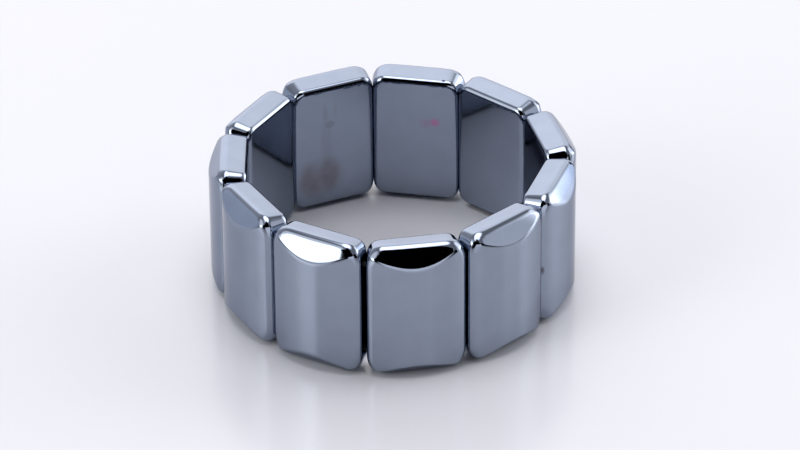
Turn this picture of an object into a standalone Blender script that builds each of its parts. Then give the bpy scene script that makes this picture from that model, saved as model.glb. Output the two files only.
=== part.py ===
"""Stretch bracelet of eleven flat-backed hematite beads on two elastic cords.

Metres, +Z up. The bracelet lies on the plane z = 0 with its wrist opening upright, and the
origin is in the middle of its base. Each bead is a separate solid, drilled through its width
near both ends, and each cord is a closed loop through one row of the holes.
"""

import math

import bmesh
import bpy
from mathutils import Matrix, Vector

MM = 0.001

# The bead's flat back, a rounded rectangle, and how its walls flare from there to the front
BACK_WIDTH = 16.0 * MM
BACK_HEIGHT = 24.3 * MM
CORNER_RADIUS = 3.0 * MM
SIDE_FLARE_DEG = 12.5
END_FLARE_DEG = 10.5
EDGE_CHAMFER = 0.4 * MM

# The front, domed from side to side, with a slanted facet ground across each end
SIDE_THICKNESS = 4.7 * MM
CROWN_THICKNESS = 7.2 * MM
END_THICKNESS = 4.7 * MM
FACET_HEIGHT = 2.6 * MM

# The elastic cords and the holes drilled for them
CORD_DIAMETER = 0.9 * MM
CORD_CLEARANCE = 0.3 * MM
HOLE_FROM_END = 4.6 * MM
HOLE_FROM_BACK = 2.4 * MM

# How the beads lie on the loop, as chosen from the photo: the way each bead's front faces, in
# degrees anticlockwise from -Y seen from above, then its own facets, which are ground by hand:
# shares of END_THICKNESS and of FACET_HEIGHT
BEAD_GAP = 0.3 * MM
BEADS = [
    (10.0, 0.96, 1.06),
    (43.0, 0.97, 0.94),
    (71.1, 1.03, 1.00),
    (103.7, 1.00, 1.00),
    (138.0, 1.02, 1.00),
    (168.9, 1.04, 1.00),
    (204.3, 1.04, 1.00),
    (239.6, 1.00, 1.00),
    (270.0, 1.00, 1.00),
    (299.6, 1.05, 1.00),
    (330.6, 1.00, 1.14),
]

# How finely the curves are cut
DOME_CUTS = 12
CORNER_CUTS = 5
HOLE_SIDES = 12
CORD_BEVEL_RESOLUTION = 2

HEMATITE_COLOUR = (0.24, 0.28, 0.34, 1.0)
ELASTIC_COLOUR = (0.010, 0.010, 0.012, 1.0)


def clear_scene():
    for thing in list(bpy.data.objects):
        bpy.data.objects.remove(thing, do_unlink=True)


def make_material(name, colour, roughness, metallic):
    material = bpy.data.materials.new(name)
    material.use_nodes = True
    shader = material.node_tree.nodes["Principled BSDF"]
    shader.inputs["Base Color"].default_value = colour
    shader.inputs["Roughness"].default_value = roughness
    shader.inputs["Metallic"].default_value = metallic
    material.diffuse_color = colour
    return material


def cut(mesh, point, normal):
    """Grinds away what lies beyond a plane and closes the cut with one flat face."""
    geometry = mesh.verts[:] + mesh.edges[:] + mesh.faces[:]
    found = bmesh.ops.bisect_plane(
        mesh, geom=geometry, plane_co=point, plane_no=normal, clear_outer=True, dist=1e-7
    )
    edges = [item for item in found["geom_cut"] if isinstance(item, bmesh.types.BMEdge)]
    if edges:
        bmesh.ops.holes_fill(mesh, edges=[edge for edge in edges if edge.is_boundary], sides=0)


def dome_height(x):
    """Thickness of the domed front at a distance from the bead's middle, before the facets."""
    half = BACK_WIDTH / 2 + SIDE_THICKNESS * math.tan(math.radians(SIDE_FLARE_DEG))
    rise = CROWN_THICKNESS - SIDE_THICKNESS
    radius = (half**2 + rise**2) / (2 * rise)
    return CROWN_THICKNESS - radius + math.sqrt(max(radius**2 - x**2, 0.0))


def back_outline():
    """The walls round the flat back: each one's direction and a point on it, from the middle."""
    half_width = BACK_WIDTH / 2
    half_height = BACK_HEIGHT / 2
    walls = []
    for corner in range(4):
        first = math.radians(90 * corner)
        straight = half_width if corner % 2 == 0 else half_height
        walls.append((first, straight * math.cos(first), straight * math.sin(first)))
        side = 1 if corner in (0, 3) else -1
        end = 1 if corner in (0, 1) else -1
        for step in range(1, CORNER_CUTS):
            angle = first + math.radians(90 * step / CORNER_CUTS)
            x = side * (half_width - CORNER_RADIUS) + CORNER_RADIUS * math.cos(angle)
            z = end * (half_height - CORNER_RADIUS) + CORNER_RADIUS * math.sin(angle)
            walls.append((angle, x, z))
    return walls


def bead_mesh(name, end_thickness, facet_height):
    """One bead: width along X, its flat back at y = 0 and front at +Y, standing on z = 0."""
    side_flare = math.tan(math.radians(SIDE_FLARE_DEG))
    end_flare = math.tan(math.radians(END_FLARE_DEG))
    half_outer = BACK_WIDTH / 2 + SIDE_THICKNESS * side_flare
    front_edge = BACK_HEIGHT / 2 + end_thickness * end_flare
    slope = (CROWN_THICKNESS - end_thickness) / facet_height
    mesh = bmesh.new()
    blank = Matrix.Diagonal((2 * BACK_WIDTH, 2 * CROWN_THICKNESS, 2 * BACK_HEIGHT, 1.0))
    bmesh.ops.create_cube(mesh, size=1.0, matrix=blank)
    bmesh.ops.translate(mesh, verts=mesh.verts, vec=(0, CROWN_THICKNESS, 0))

    for angle, x, z in back_outline():
        flare = side_flare * abs(math.cos(angle)) + end_flare * abs(math.sin(angle))
        cut(mesh, Vector((x, 0, z)), Vector((math.cos(angle), -flare, math.sin(angle))))

    # The dome, as flat strips from one side to the other
    for strip in range(DOME_CUTS):
        left = -half_outer + 2 * half_outer * strip / DOME_CUTS
        right = left + 2 * half_outer / DOME_CUTS
        rise = dome_height(right) - dome_height(left)
        cut(mesh, Vector((left, dome_height(left), 0)), Vector((-rise, right - left, 0)))

    for end in (-1, 1):
        cut(mesh, Vector((0, end_thickness, end * front_edge)), Vector((0, 1, end * slope)))

    # The softened edges behind and in front of each wall
    for angle, x, z in back_outline():
        outward = Vector((math.cos(angle), 0, math.sin(angle)))
        edge_x = x + SIDE_THICKNESS * side_flare * math.cos(angle)
        edge_z = z + end_thickness * end_flare * math.sin(angle)
        facet = end_thickness + (front_edge - abs(edge_z)) * slope
        edge_y = min(dome_height(edge_x), facet)
        back_point = Vector((x, 0, z)) - outward * EDGE_CHAMFER
        front_point = Vector((edge_x, edge_y, edge_z)) - outward * EDGE_CHAMFER
        cut(mesh, back_point, outward - Vector((0, 1, 0)))
        cut(mesh, front_point, 2 * outward + Vector((0, 1, 0)))

    bmesh.ops.remove_doubles(mesh, verts=mesh.verts, dist=1e-6)
    bmesh.ops.recalc_face_normals(mesh, faces=mesh.faces)
    lowest = min(vertex.co.z for vertex in mesh.verts)
    bmesh.ops.translate(mesh, verts=mesh.verts, vec=(0, 0, -lowest))
    data = bpy.data.meshes.new(name)
    mesh.to_mesh(data)
    mesh.free()
    return data


def hole_cutter(name, height):
    """A round drill through the bead's whole width, hidden from renders."""
    mesh = bmesh.new()
    bmesh.ops.create_cone(
        mesh,
        cap_ends=True,
        segments=HOLE_SIDES,
        radius1=CORD_DIAMETER / 2 + CORD_CLEARANCE,
        radius2=CORD_DIAMETER / 2 + CORD_CLEARANCE,
        depth=2 * BACK_WIDTH,
        matrix=Matrix.Rotation(math.radians(90), 4, "Y"),
    )
    data = bpy.data.meshes.new(name)
    mesh.to_mesh(data)
    mesh.free()
    cutter = bpy.data.objects.new(name, data)
    cutter.location = (0, HOLE_FROM_BACK, height)
    cutter.hide_render = True
    cutter.display_type = "WIRE"
    bpy.context.collection.objects.link(cutter)
    return cutter


def ring_places():
    """Middle of each bead's back and its heading, with the backs edge to edge round the loop."""
    pitch = BACK_WIDTH + BEAD_GAP
    headings = [math.radians(heading) for heading, end_share, facet_share in BEADS]
    along = [Vector((math.cos(heading), math.sin(heading), 0)) for heading in headings]
    places = [Vector((0, 0, 0))]
    for before, after in zip(along, along[1:]):
        places.append(places[-1] + (before + after) * pitch / 2)
    left_open = places[-1] + (along[-1] + along[0]) * pitch / 2 - places[0]
    places = [place - left_open * number / len(BEADS) for number, place in enumerate(places)]
    return places, headings


def centred(places, headings, meshes):
    """Moves the loop so that the box round its beads has its middle over the origin."""
    corners = []
    for place, heading, data in zip(places, headings, meshes):
        turn = Matrix.Rotation(heading + math.pi, 4, "Z")
        corners += [place + turn @ vertex.co for vertex in data.vertices]
    middle = Vector((0, 0, 0))
    for axis in (0, 1):
        reach = [corner[axis] for corner in corners]
        middle[axis] = (min(reach) + max(reach)) / 2
    return [place - middle for place in places]


def cord_points(places, headings, height):
    """The cord's loop: straight through each bead, with its turns in the gaps between them."""
    points = []
    for number in range(len(places)):
        following = (number + 1) % len(places)
        lines = []
        for which in (number, following):
            outward = Vector((math.sin(headings[which]), -math.cos(headings[which]), 0))
            along = Vector((math.cos(headings[which]), math.sin(headings[which]), 0))
            lines.append((places[which] + outward * HOLE_FROM_BACK, along))
        (first, ahead), (second, onward) = lines
        cross = ahead.x * onward.y - ahead.y * onward.x
        apart = second - first
        reach = (apart.x * onward.y - apart.y * onward.x) / cross
        turn_point = first + ahead * reach
        softening = CORD_CLEARANCE
        for point in (turn_point - ahead * softening, turn_point + onward * softening):
            points.append((point.x, point.y, height))
    return points


def make_cord(name, points, material):
    curve = bpy.data.curves.new(name, "CURVE")
    curve.dimensions = "3D"
    curve.twist_mode = "Z_UP"
    curve.bevel_depth = CORD_DIAMETER / 2
    curve.bevel_resolution = CORD_BEVEL_RESOLUTION
    spline = curve.splines.new("POLY")
    spline.points.add(len(points) - 1)
    for slot, point in zip(spline.points, points):
        slot.co = (*point, 1.0)
    spline.use_cyclic_u = True
    curve.materials.append(material)
    cord = bpy.data.objects.new(name, curve)
    bpy.context.collection.objects.link(cord)
    return cord


def main():
    clear_scene()
    bracelet = bpy.data.objects.new("bracelet", None)
    bpy.context.collection.objects.link(bracelet)

    names = [f"bead_{number + 1:02d}" for number in range(len(BEADS))]
    meshes = []
    for name, (heading, end_share, facet_share) in zip(names, BEADS):
        meshes.append(bead_mesh(name, END_THICKNESS * end_share, FACET_HEIGHT * facet_share))
    bead_height = min(max(vertex.co.z for vertex in data.vertices) for data in meshes)
    hole_heights = {"lower": HOLE_FROM_END, "upper": bead_height - HOLE_FROM_END}
    places, headings = ring_places()
    places = centred(places, headings, meshes)

    for name, data, place, heading in zip(names, meshes, places, headings):
        data.materials.append(make_material(f"hematite_{name}", HEMATITE_COLOUR, 0.06, 1.0))
        bead = bpy.data.objects.new(name, data)
        bead.location = place
        bead.rotation_euler = (0, 0, heading + math.pi)
        bead.parent = bracelet
        bpy.context.collection.objects.link(bead)
        for row, height in hole_heights.items():
            cutter = hole_cutter(f"{name}_{row}_drill", height)
            cutter.parent = bead
            drilling = bead.modifiers.new(f"{row} hole", "BOOLEAN")
            drilling.operation = "DIFFERENCE"
            drilling.solver = "EXACT"
            drilling.object = cutter
        data.shade_smooth()
        data.set_sharp_from_angle(angle=math.radians(25))

    for row, height in hole_heights.items():
        name = f"elastic_cord_{row}"
        material = make_material(name, ELASTIC_COLOUR, 0.55, 0.0)
        cord = make_cord(name, cord_points(places, headings, height), material)
        cord.parent = bracelet


main()
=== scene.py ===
"""Looks of the stretch bracelet: eleven polished hematite beads on two black elastic cords.

Metres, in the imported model's own frame. Every bead is made again as a fine closed mesh, and every
cord as a closed curve, in the place of its solid. The beads start from slightly larger sizes than
the solids, because the rounding of their edges takes from the outline.
"""

import math

import bpy
import numpy as np
from mathutils import Matrix, Vector


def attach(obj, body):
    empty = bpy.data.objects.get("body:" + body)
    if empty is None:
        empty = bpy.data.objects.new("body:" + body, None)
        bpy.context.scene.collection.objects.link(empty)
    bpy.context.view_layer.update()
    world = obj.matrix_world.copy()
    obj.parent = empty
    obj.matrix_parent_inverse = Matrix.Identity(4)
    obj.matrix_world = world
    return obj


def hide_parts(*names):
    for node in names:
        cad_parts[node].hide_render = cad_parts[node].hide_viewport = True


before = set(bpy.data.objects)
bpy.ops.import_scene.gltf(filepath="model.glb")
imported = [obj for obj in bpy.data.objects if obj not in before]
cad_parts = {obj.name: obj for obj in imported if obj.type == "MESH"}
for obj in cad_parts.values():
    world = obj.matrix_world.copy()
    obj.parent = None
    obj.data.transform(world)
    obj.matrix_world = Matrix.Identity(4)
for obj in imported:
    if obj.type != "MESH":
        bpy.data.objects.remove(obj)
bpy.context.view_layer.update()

MM = 0.001

# The bead's flat back, a rounded rectangle, and how its walls flare from there to the front
BACK_WIDTH = 16.4 * MM
BACK_HEIGHT = 25.35 * MM
# How far the outline's corners reach along the sides and the ends, on the back and on the front
BACK_CORNER = (2.2 * MM, 2.5 * MM)
FRONT_CORNER = (3.5 * MM, 4.2 * MM)
SIDE_FLARE = math.tan(math.radians(12.5))
END_FLARE = math.tan(math.radians(10.5))

# The front, domed from side to side, with a slanted facet ground across each end
SIDE_THICKNESS = 4.7 * MM
CROWN_THICKNESS = 7.35 * MM
END_THICKNESS = 4.6 * MM
FACET_HEIGHT = 3.7 * MM
LOWER_FACET_SHARE = 0.78

# How wide the ridge between dome and facet is, how far the facet falls at its two ends and how
# suddenly, and how far it bows
RIDGE_SOFTNESS = 0.30 * MM
FACET_FALL = 0.50 * MM
FALL_POWER = 4
FACET_BOW = 0.12 * MM

# What tumbling leaves of the ground edges: how far from the sharp edge the rounding starts, on the
# front, on the walls and on the back, each at the ends, at the sides and at the corners; how far
# it starts on the front of the sides near the corners, and how suddenly it grows towards them
FRONT_ROUNDING = (1.0 * MM, 1.3 * MM, 1.8 * MM)
WALL_ROUNDING = (0.85 * MM, 1.1 * MM, 1.3 * MM)
BACK_ROUNDING = (0.90 * MM, 0.95 * MM, 0.95 * MM)
GROWN_ROUNDING = 2.6 * MM
GROWTH_POWER = 14
# The walls' rounding changes from the back's to the front's between these shares of the way
ROUNDING_CHANGE = (0.3, 0.7)

# 2 rounds an edge like a circle, and more turns it faster in its middle
EDGE_POWER = 2.15
CORNER_POWER = 2.2

# The elastic cords, the holes drilled for them, and how far a cord's turn reaches to each side
CORD_DIAMETER = 0.9 * MM
CORD_CLEARANCE = 0.3 * MM
CORD_TURN = 0.3 * MM
HOLE_RADIUS = CORD_DIAMETER / 2 + CORD_CLEARANCE
HOLE_FROM_END = 4.6 * MM
HOLE_FROM_BACK = 2.4 * MM

# The beads press together by a hair, so no light shows between them
BEAD_OVERLAP = 0.02 * MM
# The way each bead's front faces, in degrees anticlockwise from -Y seen from above, then its own
# shares of END_THICKNESS, FACET_HEIGHT and FACET_FALL, and how far its upper facet leans to one side
BEADS = [
    (10.04, 0.96, 1.04, 1.5, 0.03),
    (43.18, 0.97, 0.99, 1.0, 0.0),
    (71.35, 1.03, 1.08, 1.0, 0.0),
    (103.96, 1.00, 1.00, 1.0, 0.0),
    (138.18, 1.02, 1.00, 1.0, 0.0),
    (168.96, 1.04, 1.00, 1.0, 0.0),
    (204.20, 1.04, 1.00, 1.0, 0.0),
    (239.37, 1.00, 1.00, 1.0, 0.0),
    (269.73, 1.00, 1.00, 1.0, 0.0),
    (299.37, 1.02, 1.15, 1.0, 0.0),
    (330.46, 1.00, 1.14, 1.4, 0.0),
]

# How finely the beads are cut. Columns: by their distance from the side, and then even ones
SIDE_INSETS = [inset * MM for inset in (0.0, 0.15, 0.35, 0.6, 0.95, 1.35, 1.8, 2.3, 2.9)]
MIDDLE_CUTS = 14
# Rows, from the bead's middle to its end: two on the dome, an even window round the hole, one
# between, a few over the ridge, and the last by their share of the way from the ridge to the end
DOME_SHARES = (0.3, 0.6)
HOLE_WINDOW = 1.0 * MM
WINDOW_CUTS = 6
WINDOW_STEPS = [HOLE_WINDOW * (2 * cut / WINDOW_CUTS - 1) for cut in range(WINDOW_CUTS + 1)]
RIDGE_REACH = 1.3 * RIDGE_SOFTNESS
RIDGE_CUTS = 5
EDGE_SHARES = (0.25, 0.5, 0.68, 0.82, 0.92, 1.0)
# The least that is left between the ridge and the end, and between the window and the ridge
LEAST_FACET = 1.2 * MM
LEAST_ROW = 0.4 * MM
# Layers: near the back, the same window round the hole, and near the front
BACK_LAYERS = [depth * MM for depth in (0.0, 0.12, 0.3, 0.55, 0.85, 1.2)]
HOLE_LAYERS = [HOLE_FROM_BACK + step for step in WINDOW_STEPS]
FRONT_LAYERS = [SIDE_THICKNESS - inset * MM for inset in (1.05, 0.75, 0.5, 0.3, 0.12, 0.0)]
LAYER_DEPTHS = BACK_LAYERS + HOLE_LAYERS + FRONT_LAYERS

# The surface is looked for between these shares of the way from the bead's core to a point near
# it, by halving that way, and a normal comes from the slopes over a short step
CORE_DEPTH = 2.8 * MM
SEARCH_SHARES = (0.3, 1.3)
SEARCH_HALVINGS = 36
NORMAL_STEP = 0.002 * MM
# Where a cut lies and how thick the bead is there depend on each other, and settle in a few rounds
DEPTH_ROUNDS = 8
# Keeps a division from meeting zero
TINY = 1e-9

# A bead's second material is the wall of its holes
HOLE_WALL_SLOT = 1
# How finely the cord's round section is cut
CORD_ROUNDNESS = 4


def linear(hex_colour):
    """An sRGB hex colour as the linear red, green, blue and alpha that a shader takes."""
    channels = [int(hex_colour[at : at + 2], 16) / 255 for at in (1, 3, 5)]
    return [c / 12.92 if c <= 0.04045 else ((c + 0.055) / 1.055) ** 2.4 for c in channels] + [1.0]


# The shape of a bead


def unit(vectors):
    return vectors / np.linalg.norm(vectors, axis=-1, keepdims=True)


def smooth_step(value, start, end):
    share = np.clip((value - start) / (end - start), 0, 1)
    return share * share * (3 - 2 * share)


def dome_height(x):
    """Thickness of the domed front at a distance from the bead's middle, before the facets."""
    half = BACK_WIDTH / 2 + SIDE_THICKNESS * SIDE_FLARE
    rise = CROWN_THICKNESS - SIDE_THICKNESS
    radius = (half**2 + rise**2) / (2 * rise)
    return CROWN_THICKNESS - radius + np.sqrt(np.maximum(radius**2 - x**2, 0.0))


class BeadShape:
    """One bead as a body: a dome with a facet across each end, flared walls, and a flat back.

    Its width lies along X, its back at y = 0 with the front at +Y, and its middle at z = 0.
    """

    def __init__(self, end_share, facet_share, fall_share, lean):
        self.facet_fall = FACET_FALL * fall_share
        self.lean = lean
        self.end_thickness = END_THICKNESS * end_share
        self.edge = BACK_HEIGHT / 2 + self.end_thickness * END_FLARE
        self.upper_facet = FACET_HEIGHT * facet_share
        self.lower_facet = self.upper_facet * LOWER_FACET_SHARE
        self.half_outer = BACK_WIDTH / 2 + SIDE_THICKNESS * SIDE_FLARE

    def facet(self, z):
        """Height and slope of the facet at the top or at the bottom, whichever z is nearer."""
        height = np.where(np.asarray(z) > 0, self.upper_facet, self.lower_facet)
        return height, (CROWN_THICKNESS - self.end_thickness) / height

    def fall(self, x, z):
        """How far a facet lies under a flat one: the upper one leans, and both wear at their ends."""
        return self.facet_fall * (x / self.half_outer) ** FALL_POWER + self.lean * x * (z > 0)

    def height(self, x, z):
        """The lower of dome and facet, with the ridge between them softened."""
        dome = dome_height(x)
        facet_height, slope = self.facet(z)
        from_middle = (self.edge - np.abs(z)) / facet_height - 0.5
        bow = FACET_BOW * (1 - 4 * from_middle**2)
        facet = self.end_thickness + (self.edge - np.abs(z)) * slope - self.fall(x, z) + bow
        near = np.maximum(RIDGE_SOFTNESS - np.abs(dome - facet), 0.0) / RIDGE_SOFTNESS
        return np.minimum(dome, facet) - near**2 * RIDGE_SOFTNESS / 4

    def ridge(self, x, side):
        """Distance from the bead's middle at which a facet meets the dome."""
        rise = dome_height(x) - self.end_thickness + self.fall(x, side)
        return self.edge - rise / self.facet(side)[1]

    def measure(self, points):
        """Below 0 inside the bead, 0 on its surface, and above 0 outside.

        Each face counts from where its rounding starts. The sum of powers turns a rounding slowly
        at its ends and faster in its middle, as tumbling does.
        """
        x, y, z = points[..., 0], points[..., 1], points[..., 2]
        side = (np.abs(x) - BACK_WIDTH / 2 - y * SIDE_FLARE) * math.cos(math.atan(SIDE_FLARE))
        end = (np.abs(z) - BACK_HEIGHT / 2 - y * END_FLARE) * math.cos(math.atan(END_FLARE))
        from_back = np.clip(y / SIDE_THICKNESS, 0, 1)
        side_corner = BACK_CORNER[0] + (FRONT_CORNER[0] - BACK_CORNER[0]) * from_back
        end_corner = BACK_CORNER[1] + (FRONT_CORNER[1] - BACK_CORNER[1]) * from_back
        side_part = np.maximum(side / side_corner + 1, 0) ** CORNER_POWER
        end_part = np.maximum(end / end_corner + 1, 0) ** CORNER_POWER
        both = side_part + end_part
        at_side = (side_part + TINY) / (both + 2 * TINY)
        at_end = 1 - at_side
        at_corner = 4 * at_side * at_end
        wall = (both ** (1 / CORNER_POWER) - 1) * (side_corner * at_side + end_corner * at_end)

        def worn(reaches):
            along_end, along_side, round_corner = reaches
            straight = along_end * at_end + along_side * at_side
            return straight + (round_corner - straight) * at_corner

        height = self.height(x, z)
        near_end = np.minimum(np.abs(z) / self.edge, 1.0) ** GROWTH_POWER
        on_front = worn(FRONT_ROUNDING) + (GROWN_ROUNDING - FRONT_ROUNDING[1]) * near_end * at_side**2
        forward = smooth_step(y / height, *ROUNDING_CHANGE)
        reach = worn(BACK_ROUNDING) * (1 - forward) + on_front * forward
        facet_height, slope = self.facet(z)
        on_facet = smooth_step(np.abs(z), self.edge - facet_height, self.edge)
        tilt = 1 / np.sqrt(1 + slope**2 * on_facet)
        parts = np.maximum(wall / reach + 1, 0) ** EDGE_POWER
        parts = parts + np.maximum((y - height) * tilt / worn(WALL_ROUNDING) + 1, 0) ** EDGE_POWER
        parts = parts + np.maximum(-y / worn(BACK_ROUNDING) + 1, 0) ** EDGE_POWER
        return parts ** (1 / EDGE_POWER) - 1

    def on_surface(self, targets):
        """The surface's points on the way from the bead's core to points near it."""
        core = np.array([0.0, CORE_DEPTH, 0.0])
        near, far = (np.full(len(targets), share) for share in SEARCH_SHARES)
        for _ in range(SEARCH_HALVINGS):
            middle = (near + far) / 2
            outside = self.measure(core + (targets - core) * middle[:, None]) > 0
            near, far = np.where(outside, near, middle), np.where(outside, middle, far)
        return core + (targets - core) * ((near + far) / 2)[:, None]

    def normals(self, points):
        """The surface's outward directions at its points."""
        slopes = []
        for axis in range(3):
            shift = np.zeros(3)
            shift[axis] = NORMAL_STEP
            slopes.append(self.measure(points + shift) - self.measure(points - shift))
        return unit(np.stack(slopes, axis=-1))


# The mesh of a bead


def row_heights(shape, x, side, hole_height):
    """Heights of one column's rows over the bead's middle: even on the dome, close over the ridge."""
    ridge = min(float(shape.ridge(x, side)), shape.edge - LEAST_FACET)
    reach = RIDGE_REACH / float(shape.facet(side)[1])
    window_middle = min(hole_height, ridge - reach - HOLE_WINDOW - LEAST_ROW)
    on_dome = [window_middle * share for share in DOME_SHARES]
    at_hole = [window_middle + step for step in WINDOW_STEPS]
    between = at_hole[-1] + (ridge - reach - at_hole[-1]) / 2
    over_ridge = [ridge + reach * (2 * cut / RIDGE_CUTS - 1) for cut in range(RIDGE_CUTS + 1)]
    left = shape.edge - over_ridge[-1]
    to_edge = [over_ridge[-1] + left * share for share in EDGE_SHARES]
    return on_dome + at_hole + [between] + over_ridge + to_edge


def block_cuts(shape, hole_heights):
    """Shares of the way to the side and, in each column, of the way to the end, of every cut."""
    near_side = [1 - inset / shape.half_outer for inset in SIDE_INSETS]
    between = [near_side[-1] * (1 - 2 * cut / MIDDLE_CUTS) for cut in range(1, MIDDLE_CUTS)]
    across = [-share for share in near_side + between] + near_side[::-1]
    # Rows spread with the end flare, and this puts the window right where the holes are
    at_hole_depth = shape.edge / (BACK_HEIGHT / 2 + HOLE_FROM_BACK * END_FLARE)
    up = []
    for share in across:
        x = share * shape.half_outer
        low = row_heights(shape, x, -1, -hole_heights[0] * at_hole_depth)
        high = row_heights(shape, x, 1, hole_heights[1] * at_hole_depth)
        heights = [-value for value in low[::-1]] + [0.0] + high
        up.append([height / shape.edge for height in heights])
    return across, up


def block_points(shape, shares):
    """The bead's surface at shares of the way to the side, to the end, and from back to front."""
    across, up, forward = np.array(shares).T
    depth = np.full(len(shares), SIDE_THICKNESS)
    for _ in range(DEPTH_ROUNDS):
        x = across * (BACK_WIDTH / 2 + depth * SIDE_FLARE)
        z = up * (BACK_HEIGHT / 2 + depth * END_FLARE)
        depth = shape.height(x, z)
    y = forward * depth
    x = across * (BACK_WIDTH / 2 + y * SIDE_FLARE)
    z = up * (BACK_HEIGHT / 2 + y * END_FLARE)
    return shape.on_surface(np.stack([x, y, z], axis=-1))


def window_walk(row, layer):
    """The rows and layers round a hole's window, in order."""
    walk = [(row + a, layer) for a in range(WINDOW_CUTS)]
    walk += [(row + WINDOW_CUTS, layer + b) for b in range(WINDOW_CUTS)]
    walk += [(row + WINDOW_CUTS - a, layer + WINDOW_CUTS) for a in range(WINDOW_CUTS)]
    walk += [(row, layer + WINDOW_CUTS - b) for b in range(WINDOW_CUTS)]
    return walk


def band(first, second):
    """Four-sided faces between two closed rows of points."""
    faces = []
    for corner in range(len(first)):
        following = (corner + 1) % len(first)
        faces.append([first[corner], first[following], second[following], second[corner]])
    return faces


def bead_mesh(name, shape, hole_heights):
    """One bead's mesh, cut into columns, rows and layers like a block, and standing on z = 0."""
    across, up = block_cuts(shape, hole_heights)
    columns, rows, layers = len(across), len(up[0]), len(LAYER_DEPTHS)
    spots, shares = {}, []
    for i in range(columns):
        for j in range(rows):
            on_wall = i in (0, columns - 1) or j in (0, rows - 1)
            cut_layers = range(layers) if on_wall else (0, layers - 1)
            for k in cut_layers:
                spots[(i, j, k)] = len(shares)
                shares.append((across[i], up[i][j], LAYER_DEPTHS[k] / SIDE_THICKNESS))
    points = block_points(shape, shares)

    def sheet(first, second, spot, skipped=()):
        """Four-sided faces over a grid of spots, less the cells that a drilled hole takes."""
        made = []
        for a in range(first - 1):
            for b in range(second - 1):
                if (a, b) not in skipped:
                    around = [(a, b), (a + 1, b), (a + 1, b + 1), (a, b + 1)]
                    made.append([spots[spot(*cell)] for cell in around])
        return made

    # The row where each hole's window starts, and the hole's height over the bead's middle
    beyond_middle = 1 + len(DOME_SHARES)
    holes = {
        rows // 2 - beyond_middle - WINDOW_CUTS: hole_heights[0],
        rows // 2 + beyond_middle: hole_heights[1],
    }
    layer = len(BACK_LAYERS)
    cells = [(a, b) for a in range(WINDOW_CUTS) for b in range(WINDOW_CUTS)]
    windows = [(row + a, layer + b) for row in holes for a, b in cells]

    faces = sheet(columns, rows, lambda a, b: (a, b, 0))
    faces += sheet(columns, rows, lambda a, b: (a, b, layers - 1))
    for j in (0, rows - 1):
        faces += sheet(columns, layers, lambda a, b: (a, j, b))
    rings = {}
    for i in (0, columns - 1):
        faces += sheet(rows, layers, lambda a, b: (i, a, b), windows)
        for row, height in holes.items():
            around = [spots[(i, *spot)] for spot in window_walk(row, layer)]
            away = points[around][:, 1:] - (HOLE_FROM_BACK, height)
            rim = unit(away) * HOLE_RADIUS + (HOLE_FROM_BACK, height)
            outward = 1 if i else -1
            beside = outward * (BACK_WIDTH / 2 + rim[:, 0] * SIDE_FLARE)
            rings[(i, row)] = list(range(len(points), len(points) + len(around)))
            points = np.vstack([points, shape.on_surface(np.column_stack([beside, rim]))])
            faces += band(around, rings[(i, row)])
    drilled = []
    for row in holes:
        drilled += band(rings[(0, row)], rings[(columns - 1, row)])

    normals = shape.normals(points)
    lowest = points[:, 2].min()
    points = points - (0, 0, lowest)
    data = bpy.data.meshes.new(name)
    data.from_pydata(list(map(tuple, points)), [], faces + drilled)
    data.update()
    data.polygons.foreach_set("use_smooth", [True] * len(data.polygons))
    for polygon in data.polygons[len(faces) :]:
        polygon.material_index = HOLE_WALL_SLOT
    set_outward(data, normals, len(faces), [height - lowest for height in hole_heights])
    return data


def into_hole(spot, hole_heights):
    """From a spot on the wall of a drilled hole straight to the hole's middle line."""
    height = min(hole_heights, key=lambda value: abs(value - spot.z))
    return Vector((0, HOLE_FROM_BACK - spot.y, height - spot.z))


def set_outward(data, normals, solid_faces, hole_heights):
    """Turns every face outwards and gives each corner the true normal of its surface."""
    flips = []
    for polygon in data.polygons:
        if polygon.index < solid_faces:
            wanted = sum((Vector(normals[place]) for place in polygon.vertices), Vector())
        else:
            wanted = into_hole(polygon.center, hole_heights)
        if polygon.normal.dot(wanted) < 0:
            flips.append(polygon.index)
    for index in flips:
        data.polygons[index].flip()
    data.update()
    corner_normals = []
    for polygon in data.polygons:
        for place in polygon.vertices:
            if polygon.index < solid_faces:
                corner_normals.append(normals[place])
            else:
                spot = data.vertices[place].co
                corner_normals.append(tuple(into_hole(spot, hole_heights).normalized()))
    data.normals_split_custom_set(corner_normals)


# The places of the beads in the loop


def ring_places():
    """Middle of each bead's back and its heading, with each bead touching the next one.

    The beads touch where their backs' edges start to round off, so the more two beads turn from
    each other, the closer the middles of their backs come.
    """
    headings = [math.radians(bead[0]) for bead in BEADS]
    places = [Vector((0, 0, 0))]
    for before, after in zip(headings, headings[1:]):
        opening = (after - before) / 2 - math.atan(SIDE_FLARE)
        pitch = BACK_WIDTH - BEAD_OVERLAP - 2 * BACK_ROUNDING[1] * math.tan(opening)
        ways = [Vector((math.cos(heading), math.sin(heading), 0)) for heading in (before, after)]
        places.append(places[-1] + (ways[0] + ways[1]) * pitch / 2)
    return places, headings


def centred(places, headings, meshes):
    """The places moved so that the box round all beads has its middle over the origin."""
    corners = []
    for place, heading, data in zip(places, headings, meshes):
        turn = Matrix.Rotation(heading + math.pi, 4, "Z")
        corners += [place + turn @ vertex.co for vertex in data.vertices]
    middle = Vector((0, 0, 0))
    for axis in (0, 1):
        reach = [corner[axis] for corner in corners]
        middle[axis] = (min(reach) + max(reach)) / 2
    return [place - middle for place in places]


# The materials

# Sizes of the polish's patterns: clouds of slightly lighter stone, patches of haze, and the low
# waves a grinding wheel leaves
CLOUD_SIZE = 4 * MM
HAZE_SIZE = 2.5 * MM
WAVE_SIZE = 5 * MM
WAVE_HEIGHT = 0.004 * MM
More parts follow.
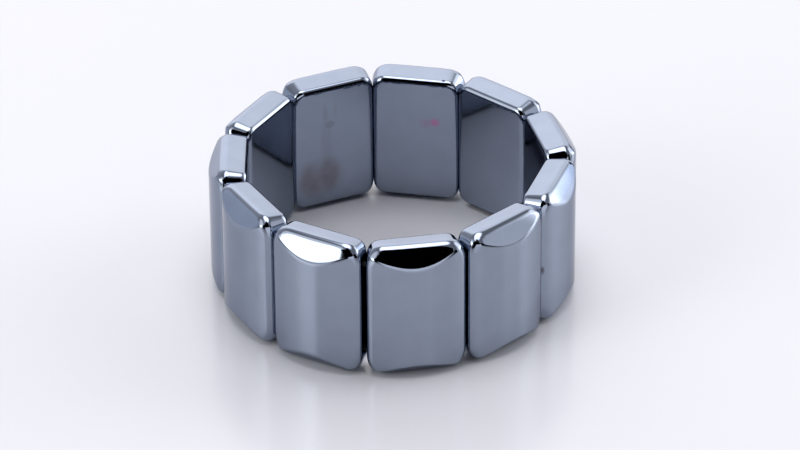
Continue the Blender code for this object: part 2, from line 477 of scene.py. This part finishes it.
# The polish's roughness where it is clear and where it is hazy, and the part of the haze's pattern
# that it changes over
POLISH_ROUGHNESS = (0.045, 0.085)
POLISH_CHANGE = (0.35, 0.75)
# How far the stone's patterns shift from one bead to the next, so no two beads are alike
SEED_STEP = 3.7

# Marks on the beads: where their middles lie on the bead and how far they reach, in mm, how
# strong they are, their colour, and how much duller they make the polish
MARKS = {
    "bead_03": [((9.0, 4.6, 11.9), (0.4, 0.9, 1.2), 0.7, "#45424C", 0.3)],
    "bead_06": [
        ((3.80, 0.0, 17.4), (1.2, 0.5, 1.2), 1.0, "#AF7CA4", 0.1),
        ((2.00, 0.0, 17.1), (1.6, 0.5, 1.3), 0.7, "#9C84A6", 0.1),
        ((5.34, 0.75, 26.2), (0.45, 0.35, 0.35), 1.0, "#2E2640", 0.3),
    ],
    "bead_07": [
        ((-3.2, 0.0, 6.6), (6.4, 0.5, 5.6), 0.50, "#7B7479", 0.12),
        ((-1.1, 0.0, 7.4), (2.7, 0.5, 4.6), 0.55, "#716A6E", 0.1),
        ((-5.3, 0.0, 6.8), (2.7, 0.5, 4.6), 0.45, "#756D73", 0.1),
        ((-1.7, 0.0, 14.5), (1.5, 0.5, 8.0), 0.25, "#7C7C86", 0.05),
        ((-1.9, 0.0, 20.6), (0.7, 0.5, 2.8), 0.30, "#767D88", 0.05),
        ((0.2, 0.0, 20.8), (0.7, 0.5, 2.4), 0.20, "#767D88", 0.05),
        ((-0.9, 0.0, 18.0), (1.4, 0.5, 1.1), 0.50, "#6F7682", 0.05),
    ],
}
# The share of a mark's reach that it covers fully, its least share of its strength where it is
# patchy, and the part of the haze's pattern that this changes over
MARK_CORE = 0.35
MARK_LEAST = 0.6
MARK_CHANGE = (0.3, 0.6)

# In the dull solids the clouds are wider than the grain, and the roughness strays a little
CLOUDS_PER_GRAIN = 0.4
ROUGHNESS_SPREAD = 0.1


def add_node(tree, kind, feeds=None, **settings):
    """Adds a node with its own settings, and sets or links its inputs by name or number."""
    made = tree.nodes.new(kind)
    for setting, value in settings.items():
        setattr(made, setting, value)
    for socket, value in (feeds or {}).items():
        if isinstance(value, bpy.types.NodeSocket):
            tree.links.new(value, made.inputs[socket])
        else:
            made.inputs[socket].default_value = value
    return made


def new_material(name):
    material = bpy.data.materials.new(name)
    material.use_nodes = True
    material.node_tree.nodes.clear()
    return material, material.node_tree


def mark_mask(tree, place, centre, size):
    """1 in the middle of a mark and 0 outside it; the size is how far it reaches along X, Y and Z."""
    away = add_node(tree, "ShaderNodeVectorMath", {0: place, 1: centre}, operation="SUBTRACT")
    feeds = {0: away.outputs[0], 1: size}
    shares = add_node(tree, "ShaderNodeVectorMath", feeds, operation="DIVIDE")
    distance = add_node(tree, "ShaderNodeVectorMath", {0: shares.outputs[0]}, operation="LENGTH")
    feeds = {"Value": distance.outputs["Value"], "From Min": 1.0, "From Max": MARK_CORE}
    mask = add_node(tree, "ShaderNodeMapRange", feeds, interpolation_type="SMOOTHSTEP")
    return mask.outputs["Result"]


def polished_hematite(name, seed, marks):
    """Hematite, an iron oxide, ground on a wheel and tumbled to a mirror polish.

    It gives the eye a blue-grey mirror: nearly sharp reflections, dimmed to a third, that waver
    slightly where the wheel left the surface uneven, and a breath of haze here and there.
    """
    material, tree = new_material(name)
    place = add_node(tree, "ShaderNodeTexCoord").outputs["Object"]
    feeds = {0: place, 1: (seed, 0, 0)}
    shifted = add_node(tree, "ShaderNodeVectorMath", feeds, operation="ADD").outputs[0]
    feeds = {"Vector": shifted, "Scale": 1 / CLOUD_SIZE, "Detail": 3.0}
    cloud = add_node(tree, "ShaderNodeTexNoise", feeds)
    feeds = {"Vector": shifted, "Scale": 1 / HAZE_SIZE, "Detail": 5.0}
    haze = add_node(tree, "ShaderNodeTexNoise", feeds)
    feeds = {"Vector": shifted, "Scale": 1 / WAVE_SIZE, "Detail": 1.0}
    waves = add_node(tree, "ShaderNodeTexNoise", feeds)
    feeds = {"Factor": cloud.outputs["Fac"], "A": linear("#8C95A5"), "B": linear("#98A1B0")}
    colour = add_node(tree, "ShaderNodeMix", feeds, data_type="RGBA").outputs["Result"]
    feeds = {"Value": haze.outputs["Fac"], "From Min": POLISH_CHANGE[0], "From Max": POLISH_CHANGE[1]}
    feeds |= {"To Min": POLISH_ROUGHNESS[0], "To Max": POLISH_ROUGHNESS[1]}
    roughness = add_node(tree, "ShaderNodeMapRange", feeds).outputs["Result"]
    for centre, size, strength, tint, dullness in marks:
        centre, size = ([value * MM for value in values] for values in (centre, size))
        mask = mark_mask(tree, place, centre, size)
        feeds = {"Value": haze.outputs["Fac"], "From Min": MARK_CHANGE[0], "From Max": MARK_CHANGE[1]}
        feeds |= {"To Min": MARK_LEAST * strength, "To Max": strength}
        patchy = add_node(tree, "ShaderNodeMapRange", feeds).outputs["Result"]
        mask = add_node(tree, "ShaderNodeMath", {0: mask, 1: patchy}, operation="MULTIPLY").outputs[0]
        feeds = {"Factor": mask, "A": colour, "B": linear(tint)}
        colour = add_node(tree, "ShaderNodeMix", feeds, data_type="RGBA").outputs["Result"]
        feeds = {0: mask, 1: dullness, 2: roughness}
        roughness = add_node(tree, "ShaderNodeMath", feeds, operation="MULTIPLY_ADD").outputs[0]
    bump = add_node(tree, "ShaderNodeBump", {"Height": waves.outputs["Fac"], "Distance": WAVE_HEIGHT})
    feeds = {"Base Color": colour, "Metallic": 1.0, "Roughness": roughness}
    feeds |= {"Normal": bump.outputs["Normal"], "Specular Tint": linear("#DCDCE0")}
    shader = add_node(tree, "ShaderNodeBsdfPrincipled", feeds)
    add_node(tree, "ShaderNodeOutputMaterial", {"Surface": shader.outputs["BSDF"]})
    return material


def rough_solid(name, dark, light, roughness, grain, depth):
    """A dull solid in soft light and dark clouds, whose grain stands out by its own depth."""
    material, tree = new_material(name)
    place = add_node(tree, "ShaderNodeTexCoord").outputs["Object"]
    specks = add_node(tree, "ShaderNodeTexVoronoi", {"Vector": place, "Scale": 1 / grain})
    feeds = {"Vector": place, "Scale": CLOUDS_PER_GRAIN / grain, "Detail": 4.0}
    cloud = add_node(tree, "ShaderNodeTexNoise", feeds)
    feeds = {"Factor": cloud.outputs["Fac"], "A": linear(dark), "B": linear(light)}
    colour = add_node(tree, "ShaderNodeMix", feeds, data_type="RGBA").outputs["Result"]
    feeds = {"Value": cloud.outputs["Fac"]}
    feeds |= {"To Min": roughness - ROUGHNESS_SPREAD, "To Max": roughness + ROUGHNESS_SPREAD}
    varied = add_node(tree, "ShaderNodeMapRange", feeds).outputs["Result"]
    feeds = {"Height": specks.outputs["Distance"], "Distance": depth}
    bump = add_node(tree, "ShaderNodeBump", feeds, invert=True)
    feeds = {"Base Color": colour, "Roughness": varied, "Normal": bump.outputs["Normal"]}
    shader = add_node(tree, "ShaderNodeBsdfPrincipled", feeds)
    add_node(tree, "ShaderNodeOutputMaterial", {"Surface": shader.outputs["BSDF"]})
    return material


# The beads

# The wall of a drilled hole is hematite left rough by the drill: a dull dark grey with fine grain
hole_wall = rough_solid("drilled_hematite", "#2C2829", "#46403F", 0.7, 0.25 * MM, 0.02 * MM)
places, headings = ring_places()
bead_names = [f"bead_{number + 1:02d}" for number in range(len(BEADS))]
shapes = [BeadShape(*bead[1:]) for bead in BEADS]
# The cords run level, the upper one as far from the shortest bead's end as the lower one
shortest = min(shape.edge for shape in shapes)
cord_heights = {"lower": HOLE_FROM_END, "upper": 2 * shortest - HOLE_FROM_END}
meshes = []
for bead_name, shape in zip(bead_names, shapes):
    hole_heights = [height - shape.edge for height in cord_heights.values()]
    meshes.append(bead_mesh(bead_name, shape, hole_heights))
places = centred(places, headings, meshes)

for number, (bead_name, data) in enumerate(zip(bead_names, meshes)):
    marks = MARKS.get(bead_name, [])
    data.materials.append(polished_hematite(f"hematite_{bead_name}", SEED_STEP * number, marks))
    data.materials.append(hole_wall)
    bead = bpy.data.objects.new(f"hematite_{bead_name}", data)
    bpy.context.collection.objects.link(bead)
    bead.location = places[number]
    bead.rotation_euler = (0, 0, headings[number] + math.pi)
    bpy.context.view_layer.update()
    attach(bead, "root")
    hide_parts(bead_name)


# The cords


def cord_points(height):
    """The cord's loop: straight through each bead, with its turns in the gaps between them."""
    points = []
    for number in range(len(places)):
        lines = []
        for which in (number, (number + 1) % len(places)):
            outward = Vector((math.sin(headings[which]), -math.cos(headings[which]), 0))
            along = Vector((math.cos(headings[which]), math.sin(headings[which]), 0))
            lines.append((places[which] + outward * HOLE_FROM_BACK, along))
        (first, ahead), (second, onward) = lines
        cross = ahead.x * onward.y - ahead.y * onward.x
        apart = second - first
        to_turn = (apart.x * onward.y - apart.y * onward.x) / cross
        turn_point = first + ahead * to_turn
        for way, shares in ((-ahead, (1.0, 0.5)), (onward, (0.5, 1.0))):
            for share in shares:
                point = turn_point + way * CORD_TURN * share
                points.append((point.x, point.y, height))
    return points


# A rubber core wrapped in black polyester yarn: matt black, uneven with the yarn's small bumps
cord_black = rough_solid("wrapped_elastic", "#050506", "#0B0B0D", 0.75, 0.2 * MM, 0.03 * MM)
for row, height in cord_heights.items():
    curve = bpy.data.curves.new(f"wrapped_elastic_{row}", "CURVE")
    curve.dimensions = "3D"
    curve.twist_mode = "Z_UP"
    curve.bevel_depth = CORD_DIAMETER / 2
    curve.bevel_resolution = CORD_ROUNDNESS
    curve.materials.append(cord_black)
    points = cord_points(height)
    spline = curve.splines.new("POLY")
    spline.points.add(len(points) - 1)
    for spline_point, point in zip(spline.points, points):
        spline_point.co = (*point, 1.0)
    spline.use_cyclic_u = True
    cord = bpy.data.objects.new(f"wrapped_elastic_{row}", curve)
    bpy.context.collection.objects.link(cord)
    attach(cord, "root")
    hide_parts(f"elastic_cord_{row}")


# The floor

# The table's half width, the size of the patches that wiping leaves, and its roughness in them
FLOOR_REACH = 4.0
WIPING_SIZE = 30 * MM
FLOOR_ROUGHNESS = (0.17, 0.23)

floor_data = bpy.data.meshes.new("floor")
corners = [(FLOOR_REACH * x, FLOOR_REACH * y, 0) for x, y in ((-1, -1), (1, -1), (1, 1), (-1, 1))]
floor_data.from_pydata(corners, [], [(0, 1, 2, 3)])
floor = bpy.data.objects.new("floor", floor_data)
bpy.context.collection.objects.link(floor)
# A cast sheet of white acrylic: evenly pale, with a soft and slightly uneven gloss from wiping
floor_material, tree = new_material("white_acrylic_sheet")
place = add_node(tree, "ShaderNodeTexCoord").outputs["Object"]
feeds = {"Vector": place, "Scale": 1 / WIPING_SIZE, "Detail": 2.0}
wiping = add_node(tree, "ShaderNodeTexNoise", feeds)
feeds = {"Value": wiping.outputs["Fac"], "To Min": FLOOR_ROUGHNESS[0], "To Max": FLOOR_ROUGHNESS[1]}
roughness = add_node(tree, "ShaderNodeMapRange", feeds).outputs["Result"]
feeds = {"Base Color": linear("#D6D6D9"), "Roughness": roughness, "IOR": 1.49}
shader = add_node(tree, "ShaderNodeBsdfPrincipled", feeds)
add_node(tree, "ShaderNodeOutputMaterial", {"Surface": shader.outputs["BSDF"]})
floor_data.materials.append(floor_material)


# The light

# The light tent: its walls' brightness and tint, and soft-edged panels on it, each with a direction,
# the angles from its middle at which it is whole and gone, how much it adds, and its colour
TENT_BRIGHTNESS = 0.34
TENT_TINT = "#F4F6FF"
PANELS = [
    ("back wall", 180, 22, 30, 46, 1.33, "#FCFAFA"),
    ("ceiling", 180, 88, 12, 27, 3.8, "#F8F8FF"),
    ("right wall", 84, 24, 12, 26, 0.70, "#F8F8FF"),
    ("left wall", -150, 30, 14, 44, 0.30, "#F8F8FF"),
    ("front wall", 0, 0, 25, 65, 1.0, "#F8F8FF"),
    ("left reflector", -110, 6, 8, 22, 0.50, "#DCE8FF"),
    ("left softbox", -69, 34, 16, 29, 1.15, "#FFFFFF"),
    ("left lamp", -60, 24, 6, 21, 3.2, "#FFFFFF"),
    ("right softbox, lower part", 108, 9, 13, 23, 2.5, "#FFFFFF"),
    ("right softbox, upper part", 114, 27, 12, 23, 2.0, "#FFFFFF"),
    ("right reflector", 129, 4, 9, 17, 1.7, "#DDE9FF"),
]
# The tent's dark opening, which the camera looks through, and dark cards inside the tent
DARK_PARTS = [
    ("opening, upper part", -3, 58, 17, 19),
    ("opening, left part", -29, 36, 18, 20),
    ("opening, middle", -10, 40, 20, 22),
    ("opening, right part", 13, 41, 16, 20),
    ("opening, left foot", -26, 8, 10, 18),
    ("opening, right foot", 52, 9, 10, 18),
    ("front card", 52, 30, 9, 18),
    ("back card", 146, 4, 5, 11),
]


def toward(azimuth, elevation):
    """A direction from the bracelet: azimuth 0 is in front of it, and 90 to its right."""
    across, up = math.radians(azimuth), math.radians(elevation)
    return (math.sin(across) * math.cos(up), -math.cos(across) * math.cos(up), math.sin(up))


def panel_mask(tree, direction, azimuth, elevation, whole, gone):
    """1 within an angle of a direction, and 0 beyond a wider one, with a soft edge between."""
    feeds = {0: direction, 1: toward(azimuth, elevation)}
    closeness = add_node(tree, "ShaderNodeVectorMath", feeds, operation="DOT_PRODUCT")
    feeds = {
        "Value": closeness.outputs["Value"],
        "From Min": math.cos(math.radians(gone)),
        "From Max": math.cos(math.radians(whole)),
    }
    mask = add_node(tree, "ShaderNodeMapRange", feeds, interpolation_type="SMOOTHSTEP")
    return mask.outputs["Result"]


world = bpy.data.worlds.new("light_tent")
bpy.context.scene.world = world
world.use_nodes = True
tree = world.node_tree
tree.nodes.clear()
direction = add_node(tree, "ShaderNodeTexCoord").outputs["Generated"]
light = [TENT_BRIGHTNESS * channel for channel in linear(TENT_TINT)[:3]]
for panel, azimuth, elevation, whole, gone, added, colour in PANELS:
    mask = panel_mask(tree, direction, azimuth, elevation, whole, gone)
    own_light = [added * channel for channel in linear(colour)[:3]]
    feeds = {0: mask, 1: own_light, 2: light}
    lit = add_node(tree, "ShaderNodeVectorMath", feeds, operation="MULTIPLY_ADD", label=panel)
    light = lit.outputs[0]
for part, azimuth, elevation, whole, gone in DARK_PARTS:
    feeds = {0: 1.0, 1: panel_mask(tree, direction, azimuth, elevation, whole, gone)}
    shade = add_node(tree, "ShaderNodeMath", feeds, operation="SUBTRACT", label=part)
    feeds = {0: light, 1: shade.outputs[0]}
    light = add_node(tree, "ShaderNodeVectorMath", feeds, operation="MULTIPLY").outputs[0]
background = add_node(tree, "ShaderNodeBackground", {"Color": light})
add_node(tree, "ShaderNodeOutputWorld", {"Surface": background.outputs["Background"]})


# The camera

# Its place, turn and lens were fitted to points read from the photo
CAMERA_PLACE = (0.0000746, -0.777924, 0.479912)
CAMERA_TURN = (58.9303, 0.3727, -0.3120)
SENSOR_WIDTH = 36.0
LENS = 219.935

camera_data = bpy.data.cameras.new("camera")
camera_data.sensor_width = SENSOR_WIDTH
camera_data.lens = LENS
camera = bpy.data.objects.new("camera", camera_data)
bpy.context.collection.objects.link(camera)
camera.location = CAMERA_PLACE
camera.rotation_euler = [math.radians(angle) for angle in CAMERA_TURN]
bpy.context.scene.camera = camera
bpy.context.scene.view_settings.view_transform = "Standard"

bpy.context.view_layer.update()
